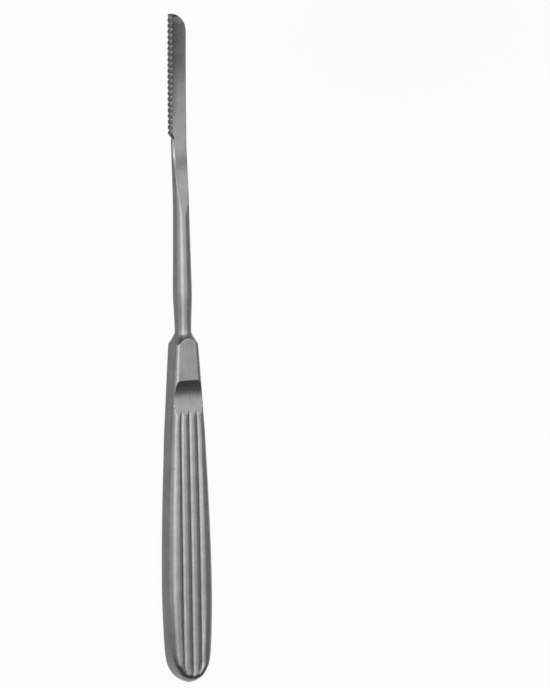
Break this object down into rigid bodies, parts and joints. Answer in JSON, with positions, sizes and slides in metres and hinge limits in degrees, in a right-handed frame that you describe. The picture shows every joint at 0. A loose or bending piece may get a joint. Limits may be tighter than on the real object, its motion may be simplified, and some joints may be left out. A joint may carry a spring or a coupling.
{
  "type": "surgical rasp",
  "caption": "Slim one-piece steel surgical rasp: fluted flat handle with a thumb scoop, round tapering shaft, and a narrow hollow-faced blade with transverse teeth.",
  "frame": {"origin": "centre of the bounding box's base: the instrument lies on its back, on the belly of the handle and the toothed back of the blade", "axes": "+Y along the instrument from the handle's round end to the tip, +Z out of the thumb face, +X across the handle"},
  "size_m": [0.0162, 0.21, 0.0084],
  "materials": {
    "steel": "satin-ground stainless steel"
  },
  "bodies": {
    "root": {"rasp": "steel"}
  },
  "joints": []
}
